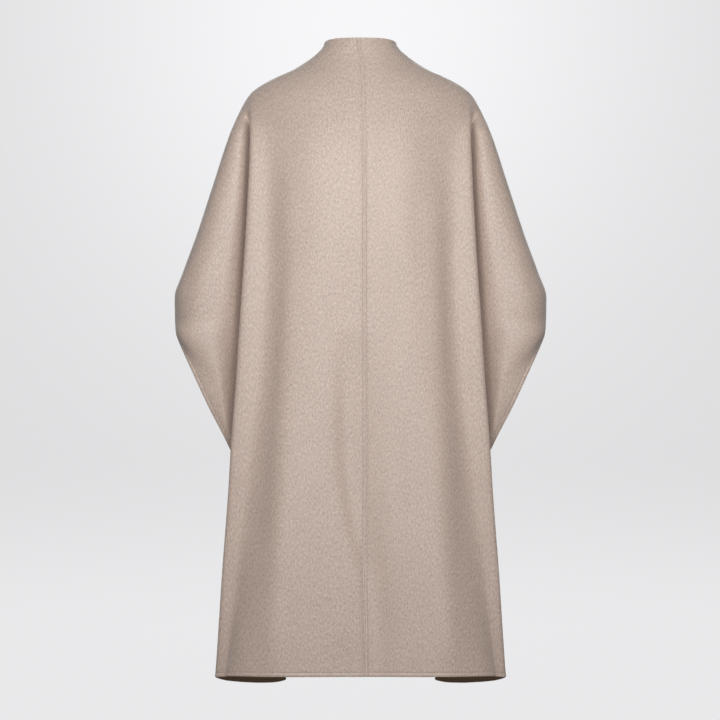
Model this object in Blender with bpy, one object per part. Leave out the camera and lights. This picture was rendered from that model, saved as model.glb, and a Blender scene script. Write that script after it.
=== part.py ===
"""Wool cape with a grown-on funnel collar and wide grown-on sleeves, as it hangs when worn.

Four half panels of thick double-face wool: two backs and two fronts. Each is one wall, lofted through
level sections from the collar down to the hem. A section runs from the middle edge of the panel over a
soft ridge and flute to the drape fold that falls from the shoulder point, in under that fold, and out
again along the sleeve to the overarm seam or the cuff. Below the sleeve it ends inside the fold, at the
side seam. The wearer faces -Y, +X is the wearer's left, and the origin is at the base of the neck.
"""

import bpy
import numpy as np

COLLECTION = "wool_cape"
BACK_SIDE, FRONT_SIDE = 1, -1

# Cloth, in metres
WALL = 0.0028
SEAM_HALF_GAP = 0.00015
WOOL_COLOUR = (0.60, 0.49, 0.43, 1.0)
WOOL_ROUGHNESS = 0.95

# Heights above and below the base of the neck
COLLAR_TOP = 0.050
COLLAR_SPREADS = 0.030
FOLD_STARTS = -0.070
FOLD_FORMED = -0.130
CUFF_TOP = -0.484
CUFF_RELEASED = -0.514
CUFF_FLAT = -0.620
CUFF_NARROWS = -0.740
CUFF_FOOT = -0.800
UNDERARM = -0.835
HEM = -1.148

# Rows of the loft: height where a stretch ends, and how many rows it takes
STRETCHES = (
    (COLLAR_SPREADS, 2),
    (FOLD_STARTS, 8),
    (FOLD_FORMED, 6),
    (CUFF_TOP, 8),
    (CUFF_NARROWS, 9),
    (CUFF_FOOT, 5),
    (UNDERARM, 3),
    (HEM, 5),
)

# Columns from the middle edge to the fold's edge, and from there to the seam or cuff
BACK_COLUMNS = (14, 12)
FRONT_COLUMNS = (10, 9)

# How far the hem and the collar edge leave the level
HEM_CORNER_DROP = 0.0062
HEM_CORNER_POWER = 5
HEM_SWAYS_FROM = -0.90
COLLAR_SIDE_DROP = 0.004
COLLAR_SIDE_POWER = 6
COLLAR_FRONT_DROP = 0.012
COLLAR_SWAYS_FROM = 0.0

# Turns of the drape fold: its outer edge, its inner turn, and the length over which its edge rounds
FOLD_RADIUS = 0.0085
VALLEY_RADIUS = 0.0075
BROW = 0.028
FOLD_TURN = np.radians((70, 20, -30, -80))
VALLEY_POINTS = 4
VALLEY_CLEAR = 0.0005

# Shares (along, out) of the way from the middle to the ridge and from the valley to the sleeve's crest,
# and (in, out) from the sleeve's end to its crest, with what is added inwards where the cuff lies flat
RIDGE_LEAD = (0.45, 0.35)
SLEEVE_RISE = (0.62, 0.12)
SLEEVE_SHOULDER = (0.30, 0.80)
SLEEVE_SIDE = (0.0, 0.42)
CUFF_FLATTENS = 0.25

# Above the fold a section is an oval. Its points lie at these shares of the angle from the middle edge
# to where the fold parts from it, and of the angle from there to the shoulder seam
SHARES_BEFORE = (0, 0.13, 0.29, 0.55, 0.84, 0.965, 0.99)
SHARES_AFTER = (0.02, 0.05, 0.08, 0.11, 0.14, 0.17, 0.20, 0.32, 0.48, 0.67, 0.84, 1)
FOLD_INDEX = len(SHARES_BEFORE) - 0.5
COLLAR_PARTING = np.radians(45)
WIDEST_PARTING = 0.955

# Fineness of a section's curve, and how far its columns gather at the bends
CURVE_STEPS = 14
BEND_SHARE = 1.0
BEND_BLUR = 6
SAME_POINT = 1e-6
SHARP_ANGLE = np.radians(40)

# Corner order that turns a face over and keeps its diagonal
TURNED = (0, 3, 2, 1)

# The wall thins in steps where a turn is too tight for it: how often, by how much, and the least share of
# the outer spacing that the inner points keep
THINNING_ROUNDS = 12
THINNING = 0.93
INNER_SPACING = 0.45


def table(names, *rows):
    """A table with one named column for each word, and one row for each height or share."""
    return dict(zip(names.split(), np.array(rows).T))


# The middle of the back and of the front in side view, and how square the ovals are
PROFILE = table(
    "z       back   front  square",
    (0.0500, 0.047, 0.060, 2.20),
    (0.0200, 0.056, 0.072, 2.10),
    (-0.020, 0.078, 0.098, 2.00),
    (-0.070, 0.104, 0.122, 2.10),
    (-0.130, 0.121, 0.135, 2.30),
    (-0.200, 0.130, 0.142, 2.40),
    (-0.320, 0.134, 0.146, 2.40),
    (-0.484, 0.131, 0.146, 2.40),
    (-0.700, 0.133, 0.148, 2.40),
    (-0.980, 0.145, 0.154, 2.40),
    (-1.148, 0.154, 0.158, 2.40),
)

# The shoulder and overarm seam, down to the top of the cuff
OVERARM = table(
    "z       x       y",
    (0.0500, 0.0665, -0.007),
    (0.0380, 0.0722, -0.007),
    (0.0228, 0.0858, -0.008),
    (0.0076, 0.1040, -0.008),
    (-0.008, 0.1295, -0.008),
    (-0.023, 0.1625, -0.007),
    (-0.038, 0.1900, -0.006),
    (-0.053, 0.2090, -0.006),
    (-0.076, 0.2240, -0.006),
    (-0.122, 0.2445, -0.008),
    (-0.236, 0.2828, -0.014),
    (-0.327, 0.3132, -0.022),
    (-0.395, 0.3388, -0.032),
    (-0.440, 0.3538, -0.038),
    (-0.484, 0.3535, -0.046),
)

# The two free edges of the cuff, from the overarm seam down to the turn of the valley under the arm
BACK_CUFF = table(
    "z       x       y",
    (-0.484, 0.3535, -0.0460),
    (-0.509, 0.3495, -0.0150),
    (-0.532, 0.3405, 0.0100),
    (-0.578, 0.3190, 0.0380),
    (-0.650, 0.2855, 0.0520),
    (-0.700, 0.2600, 0.0480),
    (-0.737, 0.2420, 0.0360),
    (-0.775, 0.2130, 0.0165),
    (-0.790, 0.1950, 0.0085),
    (-0.800, 0.1800, 0.0036),
)
FRONT_CUFF = table(
    "z       x       y",
    (-0.484, 0.3535, -0.0460),
    (-0.509, 0.3450, -0.0680),
    (-0.532, 0.3335, -0.0820),
    (-0.578, 0.3090, -0.0980),
    (-0.650, 0.2740, -0.1000),
    (-0.700, 0.2500, -0.0860),
    (-0.737, 0.2330, -0.0660),
    (-0.775, 0.2070, -0.0320),
    (-0.790, 0.1920, -0.0160),
    (-0.800, 0.1800, -0.0036),
)

# The inner turn of both drape folds, which holds the side seam below the sleeve
VALLEY = table(
    "z       x      back    front",
    (-0.070, 0.199, 0.0220, 0.0320),
    (-0.130, 0.195, 0.0460, 0.0580),
    (-0.200, 0.194, 0.0510, 0.0630),
    (-0.320, 0.193, 0.0500, 0.0640),
    (-0.484, 0.184, 0.0420, 0.0600),
    (-0.600, 0.178, 0.0360, 0.0520),
    (-0.700, 0.172, 0.0290, 0.0400),
    (-0.775, 0.168, 0.0165, 0.0190),
    (-0.800, 0.167, 0.0108, 0.0108),
    (-1.148, 0.1435, 0.0000, 0.0000),
)

# Ridge, flute, fold edge and sleeve crest: x, and depth out from the plane y = 0 on the panel's side
BACK_FOLDS = table(
    "z       ridge_x ridge   flute_x flute   fold_x  fold   crest_x crest",
    (-0.070, 0.092, 0.1000, 0.150, 0.0740, 0.2085, 0.030, 0.2110, 0.018),
    (-0.130, 0.095, 0.1185, 0.155, 0.0930, 0.2085, 0.075, 0.2175, 0.066),
    (-0.200, 0.098, 0.1285, 0.158, 0.0990, 0.2105, 0.086, 0.2200, 0.078),
    (-0.320, 0.102, 0.1330, 0.162, 0.0995, 0.2165, 0.091, 0.2300, 0.085),
    (-0.484, 0.116, 0.1335, 0.175, 0.0980, 0.2275, 0.092, 0.2470, 0.085),
    (-0.600, 0.122, 0.1360, 0.182, 0.0970, 0.2350, 0.091, 0.2540, 0.079),
    (-0.700, 0.134, 0.1395, 0.193, 0.0975, 0.2430, 0.090, 0.2460, 0.057),
    (-0.775, 0.139, 0.1430, 0.199, 0.0985, 0.2475, 0.089, 0.1980, 0.018),
    (-0.800, 0.141, 0.1440, 0.201, 0.0985, 0.2490, 0.088, 0.1775, 0.0033),
    (-0.980, 0.158, 0.1530, 0.222, 0.1010, 0.2625, 0.086, 0.1700, 0.000),
    (-1.148, 0.172, 0.1600, 0.240, 0.1030, 0.2725, 0.084, 0.1700, 0.000),
)
FRONT_FOLDS = table(
    "z       ridge_x ridge  flute_x flute  fold_x  fold   crest_x crest",
    (-0.070, 0.070, 0.117, 0.122, 0.100, 0.2065, 0.040, 0.211, 0.028),
    (-0.130, 0.078, 0.135, 0.128, 0.116, 0.2065, 0.085, 0.222, 0.058),
    (-0.200, 0.082, 0.144, 0.134, 0.122, 0.2080, 0.096, 0.238, 0.066),
    (-0.320, 0.088, 0.150, 0.144, 0.124, 0.2130, 0.104, 0.264, 0.080),
    (-0.484, 0.094, 0.152, 0.154, 0.122, 0.2220, 0.108, 0.290, 0.096),
    (-0.600, 0.100, 0.154, 0.164, 0.121, 0.2290, 0.108, 0.268, 0.096),
    (-0.700, 0.106, 0.156, 0.172, 0.120, 0.2360, 0.106, 0.232, 0.080),
    (-0.775, 0.109, 0.158, 0.180, 0.119, 0.2405, 0.104, 0.193, 0.030),
    (-0.800, 0.110, 0.159, 0.183, 0.119, 0.2420, 0.103, 0.1775, 0.0033),
    (-0.980, 0.116, 0.164, 0.198, 0.119, 0.2530, 0.098, 0.170, 0.000),
    (-1.148, 0.122, 0.169, 0.216, 0.119, 0.2610, 0.094, 0.170, 0.000),
)

# Half the gap between the two front edges
FRONT_GAP = table(
    "z       x",
    (0.0500, 0.018),
    (-0.064, 0.014),
    (-0.320, 0.010),
    (-1.148, 0.018),
)

# How far the hem hangs below its level inside the fold, by the share of the way from the fold's edge
# to the side seam
HEM_SAG = table(
    "share  drop",
    (0.00, 0.0000),
    (0.02, 0.0016),
    (0.06, 0.0044),
    (0.10, 0.0066),
    (0.16, 0.0097),
    (0.25, 0.0126),
    (0.35, 0.0154),
    (0.47, 0.0179),
    (0.58, 0.0199),
    (0.69, 0.0210),
    (0.79, 0.0216),
    (0.86, 0.0213),
    (0.91, 0.0205),
    (0.96, 0.0192),
    (1.00, 0.0178),
)


def read(tabled, name, z):
    """One column of a table of heights at height z, on a monotone cubic through its rows."""
    down, value = -tabled["z"], tabled[name]
    step = np.diff(down)
    slope = np.diff(value) / step
    bend = np.zeros(len(down))
    bend[0], bend[-1] = slope[0], slope[-1]
    for i in range(1, len(step)):
        if slope[i - 1] * slope[i] > 0:
            near, far = 2 * step[i] + step[i - 1], step[i] + 2 * step[i - 1]
            bend[i] = (near + far) / (near / slope[i - 1] + far / slope[i])
    i = int(np.clip(np.searchsorted(down, -z) - 1, 0, len(step) - 1))
    t = float(np.clip((-z - down[i]) / step[i], 0, 1))
    return (
        value[i] * (1 + 2 * t) * (1 - t) ** 2
        + value[i + 1] * t * t * (3 - 2 * t)
        + step[i] * t * (1 - t) * (bend[i] * (1 - t) - bend[i + 1] * t)
    )


def ramp(value, start, end):
    """A smooth step from 0 at start to 1 at end."""
    t = np.clip((value - start) / (end - start), 0, 1)
    return t * t * (3 - 2 * t)


def valley_turn(z, side):
    """Centre (x, depth) of the valley's turn and the angle where it ends.

    It is a half circle while the sleeve leaves it, and closes to a quarter circle at the side seam.
    """
    centre_x = read(VALLEY, "x", z) + VALLEY_RADIUS
    if z >= CUFF_FOOT:
        return centre_x, read(VALLEY, "back" if side == BACK_SIDE else "front", z), 1.5 * np.pi
    closing = np.pi / 2 * np.clip((z - UNDERARM) / (CUFF_FOOT - UNDERARM), 0, 1)
    depth = (VALLEY_RADIUS + WALL + VALLEY_CLEAR) * np.sin(closing)
    return centre_x, depth, np.pi + closing


def seam_or_cuff(z, side):
    """Where the section at height z ends: on the overarm seam, the cuff or the side seam."""
    if z >= CUFF_TOP:
        return np.array((read(OVERARM, "x", z), read(OVERARM, "y", z)))
    if z >= CUFF_FOOT:
        cuff = BACK_CUFF if side == BACK_SIDE else FRONT_CUFF
        return np.array((read(cuff, "x", z), read(cuff, "y", z)))
    x, depth, end = valley_turn(z, side)
    return around(x, depth, VALLEY_RADIUS, np.array([end]))[0] * (1, side)


def around(x, y, radius, angles):
    """Points at the given angles on a circle."""
    return np.column_stack((x + radius * np.cos(angles), y + radius * np.sin(angles)))


def oval_points(z, side, middle_x, edge):
    """The section's control points on an oval from the middle edge to the shoulder seam."""
    power = 2 / read(PROFILE, "square", z)
    middle = read(PROFILE, "back" if side == BACK_SIDE else "front", z)
    fold_x = read(BACK_FOLDS if side == BACK_SIDE else FRONT_FOLDS, "fold_x", z)
    parting = np.arcsin(np.minimum(fold_x / edge[0], WIDEST_PARTING) ** (1 / power))
    parting += (COLLAR_PARTING - parting) * ramp(z, FOLD_STARTS, COLLAR_TOP)
    before = np.array(SHARES_BEFORE) * parting
    after = parting + np.array(SHARES_AFTER) * (np.pi / 2 - parting)
    angles = np.concatenate((before, after))
    depth = side * edge[1]
    x = middle_x + (edge[0] - middle_x) * np.sin(angles) ** power
    out = depth + (middle - depth) * np.abs(np.cos(angles)) ** power
    return np.column_stack((x, out))


def fold_points(z, side, middle_x, edge):
    """The same control points where the drape fold is full."""
    folds = BACK_FOLDS if side == BACK_SIDE else FRONT_FOLDS
    size = {key: read(folds, key, z) for key in folds if key != "z"}
    middle = np.array((middle_x, read(PROFILE, "back" if side == BACK_SIDE else "front", z)))
    ridge = np.array((size["ridge_x"], size["ridge"]))
    end = np.array((edge[0], side * edge[1]))

    panel = [
        middle,
        middle + np.array(RIDGE_LEAD) * (ridge - middle),
        ridge,
        (size["flute_x"], size["flute"]),
        (size["fold_x"] - BROW, size["fold"] + FOLD_RADIUS),
    ]
    fold = around(size["fold_x"] - FOLD_RADIUS, size["fold"], FOLD_RADIUS, FOLD_TURN)
    valley_x, valley, turned = valley_turn(z, side)
    turn = np.linspace(np.pi / 2, turned, VALLEY_POINTS)
    inner = around(valley_x, valley, VALLEY_RADIUS, turn)
    under = (fold[-1] + inner[0]) / 2

    crest = np.array((size["crest_x"], size["crest"])) if z >= CUFF_FOOT else end
    flat = (CUFF_FLATTENS * ramp(-z, -CUFF_TOP, -CUFF_FLAT), 0)
    arm = [
        inner[-1] + np.array(SLEEVE_RISE) * (crest - inner[-1]),
        crest,
        end + np.add(SLEEVE_SHOULDER, flat) * (crest - end),
        end + np.add(SLEEVE_SIDE, flat) * (crest - end),
        end,
    ]
    return np.vstack((panel, fold, under, inner, arm))


def section_controls(z, side):
    """Control points of the section at height z as (x, y), from the middle edge outwards."""
    edge = seam_or_cuff(z, side)
    middle_x = 0.0 if side == BACK_SIDE else read(FRONT_GAP, "x", z)
    folded = ramp(-z, -FOLD_STARTS, -FOLD_FORMED)
    points = (1 - folded) * oval_points(z, side, middle_x, edge)
    if folded > 0:
        points = points + folded * fold_points(z, side, middle_x, edge)
    return points * (1, side)


def smooth_curve(controls, before, after):
    """A uniform cubic B-spline along the control points, with one more beyond each end."""
    points = np.vstack((before, controls, after))
    t = np.arange(CURVE_STEPS)[:, None] / CURVE_STEPS
    weights = (
        (1 - t) ** 3 / 6,
        (3 * t**3 - 6 * t**2 + 4) / 6,
        (1 + 3 * t + 3 * t**2 - 3 * t**3) / 6,
        t**3 / 6,
    )
    spans = zip(points, points[1:], points[2:], points[3:])
    pieces = [sum(weight * point for weight, point in zip(weights, span)) for span in spans]
    last = (points[-3] + 4 * points[-2] + points[-1]) / 6
    return np.vstack(pieces + [last])


def section_curve(z, side):
    """The section at height z as two fine polylines: out to the edge of the fold, and on from there.

    At a seam the curve runs on smoothly into the other panel.
    """
    own, other = section_controls(z, side), section_controls(z, -side)
    before = own[1] * (-1, 1) if side == BACK_SIDE else 2 * own[0] - own[1]
    free = ramp(-z, -CUFF_TOP, -CUFF_RELEASED)
    after = (1 - free) * (own[-1] + other[-2] - other[-1]) + free * (2 * own[-1] - own[-2])
    curve = smooth_curve(own, before, after)
    fold_edge = int(FOLD_INDEX * CURVE_STEPS)
    return curve[: fold_edge + 1], curve[fold_edge:]


def spread_points(curve, columns):
    """Points along a fine polyline, closer together where it bends, and their share of its length."""
    moved = np.linalg.norm(np.diff(curve, axis=0), axis=1) > SAME_POINT
    curve = curve[np.append(True, moved)]
    step = np.diff(curve, axis=0)
    length = np.linalg.norm(step, axis=1)
    turn = np.abs(np.gradient(np.unwrap(np.arctan2(step[:, 1], step[:, 0]))))
    turn = np.convolve(np.pad(turn, BEND_BLUR, mode="edge"), np.ones(2 * BEND_BLUR + 1), mode="valid")
    weight = length / length.sum() + BEND_SHARE * turn / turn.sum()
    reached = np.append(0, np.cumsum(weight))
    along = np.append(0, np.cumsum(length))
    at = np.interp(np.linspace(0, reached[-1], columns + 1), reached, along)
    points = np.column_stack([np.interp(at, along, curve[:, axis]) for axis in (0, 1)])
    return points, at / along[-1]


def drop_of_row(z, side, points, under):
    """How far each point of a row hangs below its level, near the hem and at the collar edge."""
    outward = points[:, 0] / points[:, 0].max()
    sag = np.interp(under, HEM_SAG["share"], HEM_SAG["drop"])
    hem = HEM_CORNER_DROP * outward**HEM_CORNER_POWER + sag
    collar = COLLAR_SIDE_DROP * outward**COLLAR_SIDE_POWER
    if side == FRONT_SIDE:
        collar = collar + COLLAR_FRONT_DROP * (1 - outward)
    return hem * ramp(-z, -HEM_SWAYS_FROM, -HEM) + collar * ramp(z, COLLAR_SWAYS_FROM, COLLAR_TOP)


def row_heights():
    """Levels of the loft's rows, from the collar edge to the hem."""
    heights, top = [COLLAR_TOP], COLLAR_TOP
    for bottom, rows in STRETCHES:
        heights.extend(np.linspace(top, bottom, rows + 1)[1:])
        top = bottom
    return np.array(heights)


def outer_points(side, heights, columns):
    """The outer face of the left panel of one side, as a grid of rows and columns of points."""
    rows = []
    for z in heights:
        panel, inside = section_curve(z, side)
        seen, _ = spread_points(panel, columns[0])
        hidden, share = spread_points(inside, columns[1])
        points = np.vstack((seen, hidden[1:]))
        under = np.append(np.zeros(len(seen)), share[1:])
        rows.append(np.column_stack((points, z - drop_of_row(z, side, points, under))))
    return np.array(rows)


def unit(vectors):
    return vectors / np.linalg.norm(vectors, axis=-1, keepdims=True)


def outward_normals(points, side):
    across, down = np.gradient(points, axis=1), np.gradient(points, axis=0)
    return unit(side * np.cross(across, down))


def inner_points(outer, out):
    """The inner face, one wall in from the outer one, and less where its points would change places."""
    wall = np.full(outer.shape[:2] + (1,), WALL)
    across = np.diff(outer, axis=1)
    for _ in range(THINNING_ROUNDS):
        inner_across = np.diff(outer - wall * out, axis=1)
        crowded = (inner_across * across).sum(axis=-1) < INNER_SPACING * (across**2).sum(axis=-1)
        crowded = np.pad(crowded, ((0, 0), (1, 1)))
        wall[crowded[:, 1:] | crowded[:, :-1]] *= THINNING
    return outer - wall * out


def left_walls():
    """Outer and inner points of the left back and the left front, parted at their shared seams."""
    heights = row_heights()
    back = outer_points(BACK_SIDE, heights, BACK_COLUMNS)
    front = outer_points(FRONT_SIDE, heights, FRONT_COLUMNS)
    back_out, front_out = outward_normals(back, BACK_SIDE), outward_normals(front, FRONT_SIDE)
    back_out[:, 0] = unit(back_out[:, 0] * (0, 1, 1))

    sewn = (heights >= CUFF_TOP) | (heights <= UNDERARM)
    seam_out = unit(back_out[sewn, -1] + front_out[sewn, -1])
    back_out[sewn, -1] = front_out[sewn, -1] = seam_out
    apart = SEAM_HALF_GAP * unit(np.cross(seam_out, np.gradient(back[:, -1], axis=0)[sewn]))
    back[sewn, -1] += apart
    front[sewn, -1] -= apart
    back[:, 0, 0] = SEAM_HALF_GAP
    return (back, inner_points(back, back_out)), (front, inner_points(front, front_out))


def closed_wall(name, outer, inner, facing):
    """One closed mesh from two grids of points: both faces and the strip of edge around them."""
    rows, columns = outer.shape[:2]
    index = np.arange(rows * columns).reshape(rows, columns)
    quads = np.stack((index[:-1, :-1], index[:-1, 1:], index[1:, 1:], index[1:, :-1]), axis=-1)
    quads = quads.reshape(-1, 4)
    rim = np.concatenate((index[0, :-1], index[:-1, -1], index[-1, :0:-1], index[:0:-1, 0]))
    ahead = np.roll(rim, -1)
    under = rows * columns
    edge = np.stack((ahead, rim, rim + under, ahead + under), axis=-1)
    faces = np.concatenate((quads, quads[:, TURNED] + under, edge))
    if facing < 0:
        faces = faces[:, TURNED]
    points = np.concatenate((outer.reshape(-1, 3), inner.reshape(-1, 3)))
    mesh = bpy.data.meshes.new(name)
    mesh.from_pydata(points.tolist(), [], faces.tolist())
    mesh.update()
    mesh.shade_smooth()
    mesh.set_sharp_from_angle(angle=SHARP_ANGLE)
    return mesh


def wool(name):
    """Matt wool for one panel."""
    material = bpy.data.materials.new(name + "_wool")
    material.use_nodes = True
    surface = material.node_tree.nodes["Principled BSDF"]
    surface.inputs["Base Color"].default_value = WOOL_COLOUR
    surface.inputs["Roughness"].default_value = WOOL_ROUGHNESS
    surface.inputs["Metallic"].default_value = 0.0
    material.diffuse_color = WOOL_COLOUR
    return material


def add_panel(name, outer, inner, facing, collection, neck):
    mesh = closed_wall(name, outer, inner, facing)
    mesh.materials.append(wool(name))
    panel = bpy.data.objects.new(name, mesh)
    panel.parent = neck
    collection.objects.link(panel)


def build_cape():
    for thing in list(bpy.data.objects):
        bpy.data.objects.remove(thing, do_unlink=True)
    collection = bpy.data.collections.new(COLLECTION)
    bpy.context.scene.collection.children.link(collection)
    neck = bpy.data.objects.new("neck_base", None)
    collection.objects.link(neck)

    mirror = np.array((-1, 1, 1))
    for part, side, (outer, inner) in zip(("back", "front"), (BACK_SIDE, FRONT_SIDE), left_walls()):
        add_panel(part + "_left", outer, inner, side, collection, neck)
        add_panel(part + "_right", outer * mirror, inner * mirror, -side, collection, neck)


build_cape()
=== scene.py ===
# %% [markdown]
# # A wool cape, filled out as worn
# The real cape is four half panels of thick double-face wool: two backs and two fronts, each with its half
# of a funnel collar and of a wide sleeve grown on to it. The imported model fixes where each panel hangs, so
# the lesson starts by loading it as a frame, and every piece made below takes the place of one panel of it
# or is sewn on to one.

import bpy
import numpy as np
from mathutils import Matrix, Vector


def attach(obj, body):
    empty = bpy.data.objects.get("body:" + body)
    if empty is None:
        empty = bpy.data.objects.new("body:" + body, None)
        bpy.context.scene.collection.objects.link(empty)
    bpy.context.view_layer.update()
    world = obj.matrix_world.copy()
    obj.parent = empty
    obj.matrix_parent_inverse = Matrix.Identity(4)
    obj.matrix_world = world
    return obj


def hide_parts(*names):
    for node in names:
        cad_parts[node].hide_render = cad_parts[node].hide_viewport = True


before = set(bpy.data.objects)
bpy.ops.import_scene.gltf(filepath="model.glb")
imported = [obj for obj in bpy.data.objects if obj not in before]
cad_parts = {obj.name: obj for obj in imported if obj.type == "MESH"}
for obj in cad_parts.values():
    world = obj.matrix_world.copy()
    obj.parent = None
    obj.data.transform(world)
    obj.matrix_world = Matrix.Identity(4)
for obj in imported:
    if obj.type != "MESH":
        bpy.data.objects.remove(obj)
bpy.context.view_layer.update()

# %% [markdown]
# ## The sizes of the cape
# A draped panel could be simulated, but its big folds would then settle where they please. Here each panel
# is a surface through level sections: the sections are short tables of where the cloth is at a few heights,
# and a smooth curve joins them. The wearer faces -Y, +X is the wearer's left, and z = 0 is the base of the
# neck.

# %% Heights, wall and folds, in metres
BACK, FRONT = 1, -1
WALL = 0.0028
SEAM_HALF_GAP = 0.00015

COLLAR_TOP = 0.050
FOLD_STARTS = -0.070
FOLD_FORMED = -0.130
CUFF_TOP = -0.484
CUFF_RELEASED = -0.514
CUFF_NARROWS = -0.740
CUFF_FOOT = -0.800
UNDERARM = -0.835
HEM = -1.148

FOLD_RADIUS = 0.0085
VALLEY_RADIUS = 0.0075
BROW = 0.028
FOLD_TURN = np.radians((70, 20, -30, -80))
VALLEY_POINTS = 4
VALLEY_CLEAR = 0.0005
RIDGE_LEAD = (0.45, 0.35)
SLEEVE_RISE = (0.62, 0.12)

print("collar to hem", round(COLLAR_TOP - HEM, 3), "m")

# %% [markdown]
# ## The outline
# The outline comes from the middle of the back and of the front in side view, from the overarm seam, which
# is the edge of the cape from the collar down to the cuff, and from the two free edges of the cuff.

# %% Profile and overarm seam


def table(text):
    """A table as named columns: its first line names them, and each further line is a row of numbers."""
    names, *rows = (line.split() for line in text.strip().splitlines())
    return dict(zip(names, np.array(rows, float).T))


# The middle of the back and of the front in side view, and how square the ovals are
PROFILE = table("""
z      back  front square
0.0500 0.047 0.060 2.20
0.0200 0.056 0.072 2.10
-0.020 0.078 0.098 2.00
-0.070 0.104 0.122 2.10
-0.130 0.121 0.135 2.30
-0.200 0.130 0.142 2.40
-0.320 0.134 0.146 2.40
-0.484 0.131 0.146 2.40
-0.700 0.133 0.148 2.40
-0.980 0.145 0.154 2.40
-1.148 0.154 0.158 2.40
""")

# The shoulder and overarm seam, down to the top of the cuff
OVERARM = table("""
z      x      y
0.0500 0.0665 -0.007
0.0380 0.0722 -0.007
0.0228 0.0858 -0.008
0.0076 0.1040 -0.008
-0.008 0.1295 -0.008
-0.023 0.1625 -0.007
-0.038 0.1900 -0.006
-0.053 0.2090 -0.006
-0.076 0.2240 -0.006
-0.122 0.2445 -0.008
-0.236 0.2828 -0.014
-0.327 0.3132 -0.022
-0.395 0.3388 -0.032
-0.440 0.3538 -0.038
-0.484 0.3535 -0.046
""")

print("width over the sleeves", 2 * float(OVERARM["x"].max()), "m")

# %% Cuffs and the lie of the sleeve
# The two free edges of the cuff, from the overarm seam down to the turn of the valley under the arm
BACK_CUFF = table("""
z      x      y
-0.484 0.3535 -0.0460
-0.509 0.3495 -0.0150
-0.532 0.3405 0.0100
-0.578 0.3190 0.0380
-0.650 0.2855 0.0520
-0.700 0.2600 0.0480
-0.737 0.2420 0.0360
-0.775 0.2130 0.0165
-0.790 0.1950 0.0085
-0.800 0.1800 0.0036
""")
FRONT_CUFF = table("""
z      x      y
-0.484 0.3535 -0.0460
-0.509 0.3450 -0.0680
-0.532 0.3335 -0.0820
-0.578 0.3090 -0.0980
-0.650 0.2740 -0.1000
-0.700 0.2500 -0.0860
-0.737 0.2330 -0.0660
-0.775 0.2070 -0.0320
-0.790 0.1920 -0.0160
-0.800 0.1800 -0.0036
""")

# How the cloth lies between the crest of the sleeve and its outer end: two control points, each as a share
# of the way in (x) and up (depth) from the end to the crest. Where the overarm seam closes it the sleeve is
# boxy, and between the two depths of HANGS_FREE it passes into the straighter line of the free cuff
ON_SLEEVE = np.array(((0.09, 0.90), (0.00, 0.42)))
ON_CUFF = np.array(((0.62, 0.64), (0.32, 0.34)))
HANGS_FREE = (0.500, 0.610)

# How much farther out the back edge of the cuff stands than the edge of the solid
CUFF_STANDS_OUT = table("""
z      y
-0.484 0.0000
-0.509 0.0250
-0.532 0.0300
-0.578 0.0240
-0.650 0.0100
-0.737 0.0000
""")

print("cuff from", CUFF_TOP, "down to", CUFF_FOOT)

# %% [markdown]
# ## The drape folds
# A deep fold falls from each shoulder point, on the back and on the front. Beside it, nearer the middle, the
# cloth sinks into a flute and rises to a ridge, and farther out it turns in to a valley and comes back along
# the sleeve. Each of these lines has its own columns.

# %% Valley, ridge, flute, fold and crest
# The inner turn of both drape folds, which holds the side seam below the sleeve
VALLEY = table("""
z      x      back   front
-0.070 0.199  0.0220 0.0320
-0.130 0.195  0.0460 0.0580
-0.200 0.194  0.0510 0.0630
-0.320 0.193  0.0500 0.0640
-0.484 0.184  0.0420 0.0600
-0.600 0.178  0.0360 0.0520
-0.700 0.172  0.0290 0.0400
-0.775 0.168  0.0165 0.0190
-0.800 0.167  0.0108 0.0108
-1.148 0.1435 0.0000 0.0000
""")

# Ridge, flute, fold edge and sleeve crest: x, and depth out from the plane y = 0 on the panel's side
BACK_FOLDS = table("""
z      ridge_x ridge  flute_x flute  fold_x fold  crest_x crest
-0.070 0.092   0.1000 0.150   0.0740 0.2085 0.030 0.2110  0.018
-0.130 0.095   0.1185 0.155   0.0930 0.2085 0.075 0.2175  0.066
-0.200 0.098   0.1285 0.158   0.0990 0.2105 0.086 0.2200  0.078
-0.320 0.102   0.1330 0.162   0.0995 0.2165 0.091 0.2300  0.085
-0.484 0.116   0.1335 0.175   0.0980 0.2275 0.092 0.2470  0.085
-0.600 0.122   0.1360 0.182   0.0970 0.2350 0.091 0.2540  0.079
-0.700 0.134   0.1395 0.193   0.0975 0.2430 0.090 0.2460  0.057
-0.775 0.139   0.1430 0.199   0.0985 0.2475 0.089 0.1980  0.018
-0.800 0.141   0.1440 0.201   0.0985 0.2490 0.088 0.1775  0.0033
-0.980 0.158   0.1530 0.222   0.1010 0.2625 0.086 0.1700  0.000
-1.148 0.172   0.1600 0.240   0.1030 0.2725 0.084 0.1700  0.000
""")
FRONT_FOLDS = table("""
z      ridge_x ridge flute_x flute fold_x fold  crest_x crest
-0.070 0.070   0.117 0.122   0.100 0.2065 0.040 0.211   0.028
-0.130 0.078   0.135 0.128   0.116 0.2065 0.085 0.222   0.058
-0.200 0.082   0.144 0.134   0.122 0.2080 0.096 0.238   0.066
-0.320 0.088   0.150 0.144   0.124 0.2130 0.104 0.264   0.080
-0.484 0.094   0.152 0.154   0.122 0.2220 0.108 0.290   0.096
-0.600 0.100   0.154 0.164   0.121 0.2290 0.108 0.268   0.096
-0.700 0.106   0.156 0.172   0.120 0.2360 0.106 0.232   0.080
-0.775 0.109   0.158 0.180   0.119 0.2405 0.104 0.193   0.030
-0.800 0.110   0.159 0.183   0.119 0.2420 0.103 0.1775  0.0033
-0.980 0.116   0.164 0.198   0.119 0.2530 0.098 0.170   0.000
-1.148 0.122   0.169 0.216   0.119 0.2610 0.094 0.170   0.000
""")

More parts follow.
